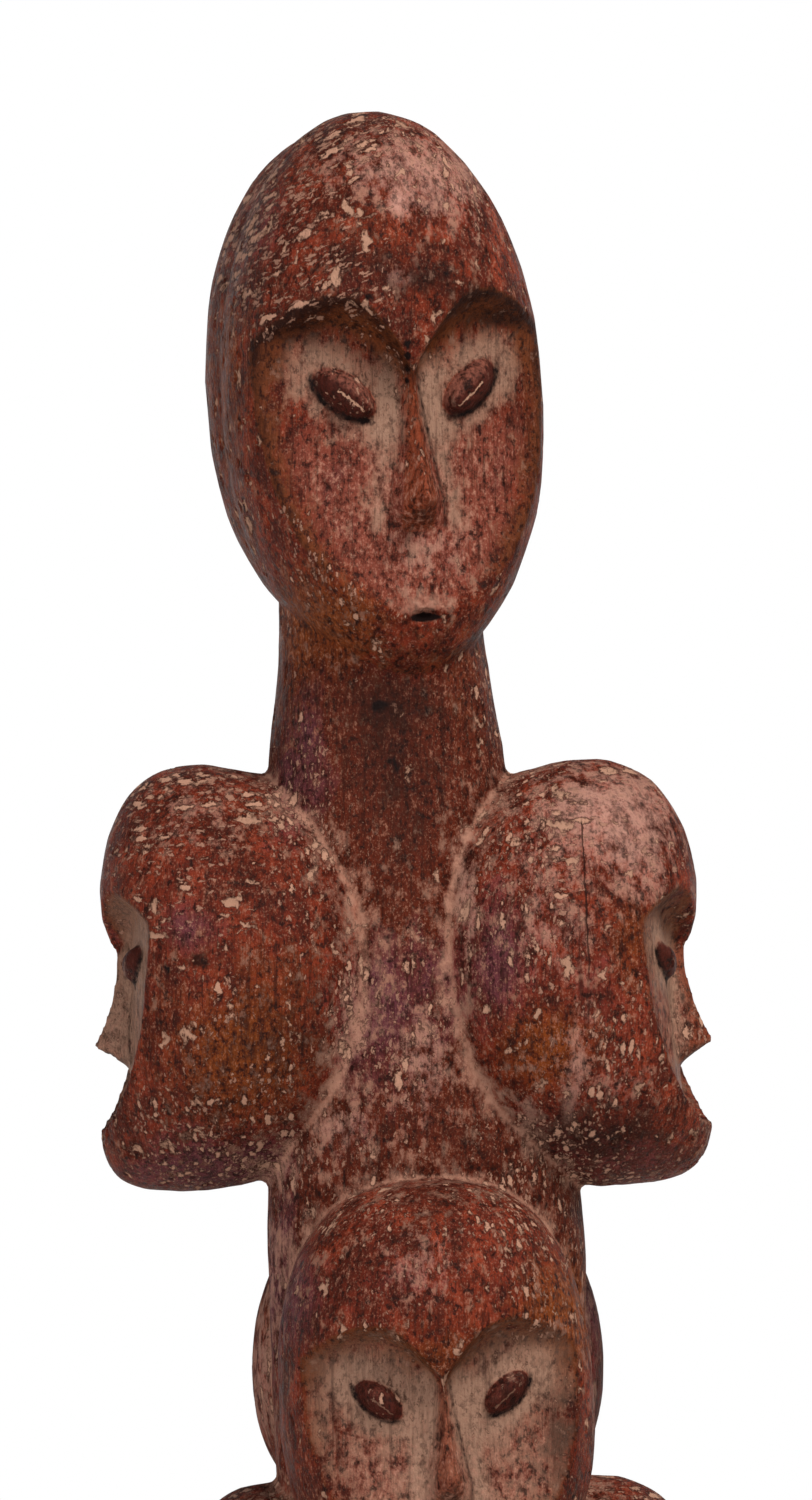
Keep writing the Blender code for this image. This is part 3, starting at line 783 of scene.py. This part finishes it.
# The slit between the lids: along and across the eye in shares of its half size, waved by the fine noise
eye_axes = node(tree, "ShaderNodeAttribute", {"attribute_name": "eye place"}).outputs["Vector"]
eye_axes = node(tree, "ShaderNodeSeparateXYZ", None, Vector=eye_axes).outputs
athwart = node(
    tree, "ShaderNodeMath", {"operation": "MULTIPLY_ADD"}, _0=fine, _1=0.5, _2=eye_axes["Y"]
).outputs[0]
athwart = node(tree, "ShaderNodeMath", {"operation": "COMPARE"}, _0=athwart, _1=0.05, _2=0.05).outputs[0]
lengthwise = node(
    tree, "ShaderNodeMath", {"operation": "COMPARE"}, _0=eye_axes["X"], _1=-0.2, _2=0.5
).outputs[0]
slit = node(tree, "ShaderNodeMath", {"operation": "MULTIPLY"}, _0=athwart, _1=lengthwise).outputs[0]
slit = node(tree, "ShaderNodeMath", {"operation": "MULTIPLY"}, _0=slit, _1=eye_axes["Z"]).outputs[0]

# The drying crack: 0.4 mm wide, waved by the noise of the worn spots
crack_axes = node(tree, "ShaderNodeAttribute", {"attribute_name": "crack place"}).outputs["Vector"]
crack_axes = node(tree, "ShaderNodeSeparateXYZ", None, Vector=crack_axes).outputs
crack = node(
    tree, "ShaderNodeMath", {"operation": "MULTIPLY_ADD"}, _0=spots, _1=1.5, _2=crack_axes["X"]
).outputs[0]
crack = node(tree, "ShaderNodeMath", {"operation": "COMPARE"}, _0=crack, _1=0.75, _2=0.2).outputs[0]
crack = node(tree, "ShaderNodeMath", {"operation": "MULTIPLY"}, _0=crack, _1=crack_axes["Y"]).outputs[0]

# Laid one over another: what steers each, where it starts and where it is full, how much of it, its colour
layers = [
    (broad, 0.40, 0.60, 1.0, "622315"),
    (middling, 0.50, 0.64, 0.7, "7a301b"),
    (middling, 0.52, 0.38, 0.6, "2a0c07"),
    (broken("dark wood", middling, 1.6), 0.2, 1.1, 0.9, "471a0d"),
    (broken("plum", middling, 1.8), 0.3, 0.9, 0.85, "502a32"),
    (broken("ochre", spots, 3.0), 0.25, 1.0, 0.9, "5e290b"),
    (broken("ochre", fine, 4.0), 0.9, 1.8, 0.5, "84491b"),
    (broken("rose", spots, 2.6), 0.2, 0.9, 0.9, "6a3428"),
    (broken("rose", middling, 2.6), 1.05, 1.5, 0.6, "4a2222"),
    (broken("pale", spots, 3.4), 0.3, 1.3, 0.8, "a67f74"),
    (spots, 0.54, 0.66, 0.35, "8e5640"),
    (speckle, 0.56, 0.70, 0.45, "9c7460"),
    (fine, 0.58, 0.68, 0.4, "a97a64"),
    (broken("grey clay", spots, 3.4), 0.25, 1.6, 0.9, "876d5c"),
    # Umber stain and painted shade
    (broken("umber_and_shade", spots, 3.0), 0.2, 0.9, 0.9, "542b14"),
    (broken("nose", spots, 2.0), 0.3, 0.9, 0.85, "6b301a"),
    (broken("eye", fine, 0.6), 0.5, 0.8, 1.0, "3c1710"),
    # Painted highlight on the upper halves of the eyes
    (broken("lid", fine, 3.0), 0.3, 1.2, 0.9, "704337"),
    # Soot and painted shade, near black
    (broken("soot_and_shade", spots, 2.4), 0.3, 0.85, 0.95, "1f0903"),
    (streaks, 0.53, 0.68, 0.7, "240b04"),
    (fine, 0.48, 0.37, 0.9, "160603"),
    (spots, 0.46, 0.34, 0.6, "160603"),
    (fibre, 0.52, 0.70, 0.5, "1c0904"),
    (broken("pale", spots, 1.6), 0.55, 1.5, 0.45, "a07a6e"),
    (broken("grey clay", spots, 3.0), 0.45, 1.8, 0.5, "7e6152"),
    (broken("rose", fine, 2.4), 1.05, 1.4, 0.55, "9c7262"),
    (broken("clay", spots, 3.0), 0.3, 1.2, 0.8, "8c6a5b"),
    (broken("seam", spots, 2.6), 0.25, 1.1, 0.6, "936d5c"),
    (small_flecks, -0.16, -0.04, 0.6, "240c06"),
    (small_flecks, 0.0, 0.12, 0.55, "9c7765"),
    (large_flecks, -0.18, -0.02, 0.7, "240c06"),
    (large_flecks, 0.0, 0.16, 0.8, "a5806c"),
    (chip, -0.1, 0.15, 0.7, "240c06"),
    (chip, 0.1, 0.6, 0.75, "a27f6b"),
    (broken("black", fine, 1.0), 0.25, 0.6, 1.0, "0e0504"),
    (slit, 0.0, 1.0, 0.7, "a98670"),
    (crack, 0.0, 1.0, 0.8, "1c0a06"),
]
colour = node(tree, "ShaderNodeRGB").outputs[0]
colour.default_value = linear("4c1809")
for source, start, full, most, code in layers:
    amount = node(tree, "ShaderNodeMapRange", None, _0=source, _1=start, _2=full, _4=most)
    colour = node(
        tree, "ShaderNodeMix", {"data_type": "RGBA"}, _0=amount.outputs[0], _6=colour, _7=linear(code)
    ).outputs[2]
tree.links.new(colour, shader.inputs["Base Color"])

dull = node(tree, "ShaderNodeMath", {"operation": "MAXIMUM"}, _0=large_flecks, _1=chip).outputs[0]
dull = node(
    tree, "ShaderNodeMath", {"operation": "MAXIMUM"}, _0=dull, _1=broken("clay", fine, 1.0)
).outputs[0]
dull = node(tree, "ShaderNodeMapRange", None, _0=dull, _1=-0.1, _2=0.4, _3=WORN_ROUGHNESS, _4=CLAY_ROUGHNESS)
tree.links.new(dull.outputs[0], shader.inputs["Roughness"])
shader.inputs["Specular IOR Level"].default_value = SHEEN

height = node(tree, "ShaderNodeMapRange", None, _0=large_flecks, _1=-0.1, _2=0.1, _3=0.0, _4=-0.8).outputs[0]
for source, share in ((fine, 1.6), (spots, 1.6), (fibre, 0.5), (speckle, 0.4)):
    height = node(
        tree, "ShaderNodeMath", {"operation": "MULTIPLY_ADD"}, _0=source, _1=share, _2=height
    ).outputs[0]
bump = node(tree, "ShaderNodeBump", None, Strength=1.0, Distance=SKIN_RELIEF, Height=height)
tree.links.new(bump.outputs[0], shader.inputs["Normal"])
figure_mesh.materials.clear()
figure_mesh.materials.append(material)

# The studio: a pale floor, one soft key light above to the right, two weaker ones at the left and low in
# front, and a white surround behind. The camera looks level at the upper part of the figure, as the
# photograph does, from 2.5 m.

PIXEL = 0.0002124  # metres at the figure for each pixel of the picture, which is 812 wide and 1500 high
PICTURE_HEIGHT = 1500
MIDDLE_COLUMN = 406
MIDDLE_ROW = 750
FIGURE_COLUMN = 432  # of the line that the trunk's widths are measured from
GROUND_ROW = 2090
FIGURE_OFFSET = 0.0060  # metres that this line lies to the right of the frame's middle
SENSOR = 36
CAMERA_DISTANCE = 2.5
camera_data = bpy.data.cameras.new("camera")
camera_data.sensor_width = SENSOR
camera_data.lens = SENSOR * CAMERA_DISTANCE / (PICTURE_HEIGHT * PIXEL)
camera = bpy.data.objects.new("camera", camera_data)
camera_x = (MIDDLE_COLUMN - FIGURE_COLUMN) * PIXEL + FIGURE_OFFSET
camera.location = (camera_x, -CAMERA_DISTANCE, (GROUND_ROW - MIDDLE_ROW) * PIXEL)
camera.rotation_euler = (math.radians(90), 0, 0)
bpy.context.collection.objects.link(camera)
bpy.context.scene.camera = camera

disc = bmesh.new()
bmesh.ops.create_circle(disc, cap_ends=True, segments=128, radius=1.2)
floor_mesh = bpy.data.meshes.new("floor")
disc.to_mesh(floor_mesh)
disc.free()
floor = bpy.data.objects.new("floor", floor_mesh)
floor.location.z = -0.0002
bpy.context.collection.objects.link(floor)
paper = bpy.data.materials.new("pale paper")
paper.use_nodes = True
paper.node_tree.nodes["Principled BSDF"].inputs["Base Color"].default_value = linear("e9e7e4")
paper.node_tree.nodes["Principled BSDF"].inputs["Roughness"].default_value = 0.9
floor_mesh.materials.append(paper)


def soft_light(name, place, size, power, tint):
    """A square lamp of this size in metres and power in watts, aimed at the figure 0.25 m up."""
    lamp = bpy.data.lights.new(name, "AREA")
    lamp.energy = power
    lamp.size = size
    lamp.color = linear(tint)[:3]
    light = bpy.data.objects.new(name, lamp)
    light.location = place
    light.rotation_euler = (Vector((0, 0, 0.25)) - Vector(place)).to_track_quat("-Z", "Y").to_euler()
    bpy.context.collection.objects.link(light)


soft_light("key", (0.65, -0.8, 1.5), 0.6, 43, "fff5ee")
soft_light("fill", (-1.5, -1.0, 0.5), 1.0, 18, "fff6f4")
soft_light("low fill", (0.1, -1.7, 0.16), 0.8, 9, "fff6f4")
surround = bpy.data.worlds.new("surround")
surround.use_nodes = True
bpy.context.scene.world = surround
background = surround.node_tree.nodes["Background"]
background.inputs["Color"].default_value = (1, 1, 1, 1)
outwards = node(surround.node_tree, "ShaderNodeTexCoord").outputs["Generated"]
behind = node(surround.node_tree, "ShaderNodeSeparateXYZ", None, Vector=outwards).outputs["Y"]
glow = node(surround.node_tree, "ShaderNodeMapRange", None, _0=behind, _1=0.2, _2=0.95, _3=0.05, _4=1.0)
surround.node_tree.links.new(glow.outputs[0], background.inputs["Strength"])
bpy.context.scene.view_settings.view_transform = "Standard"
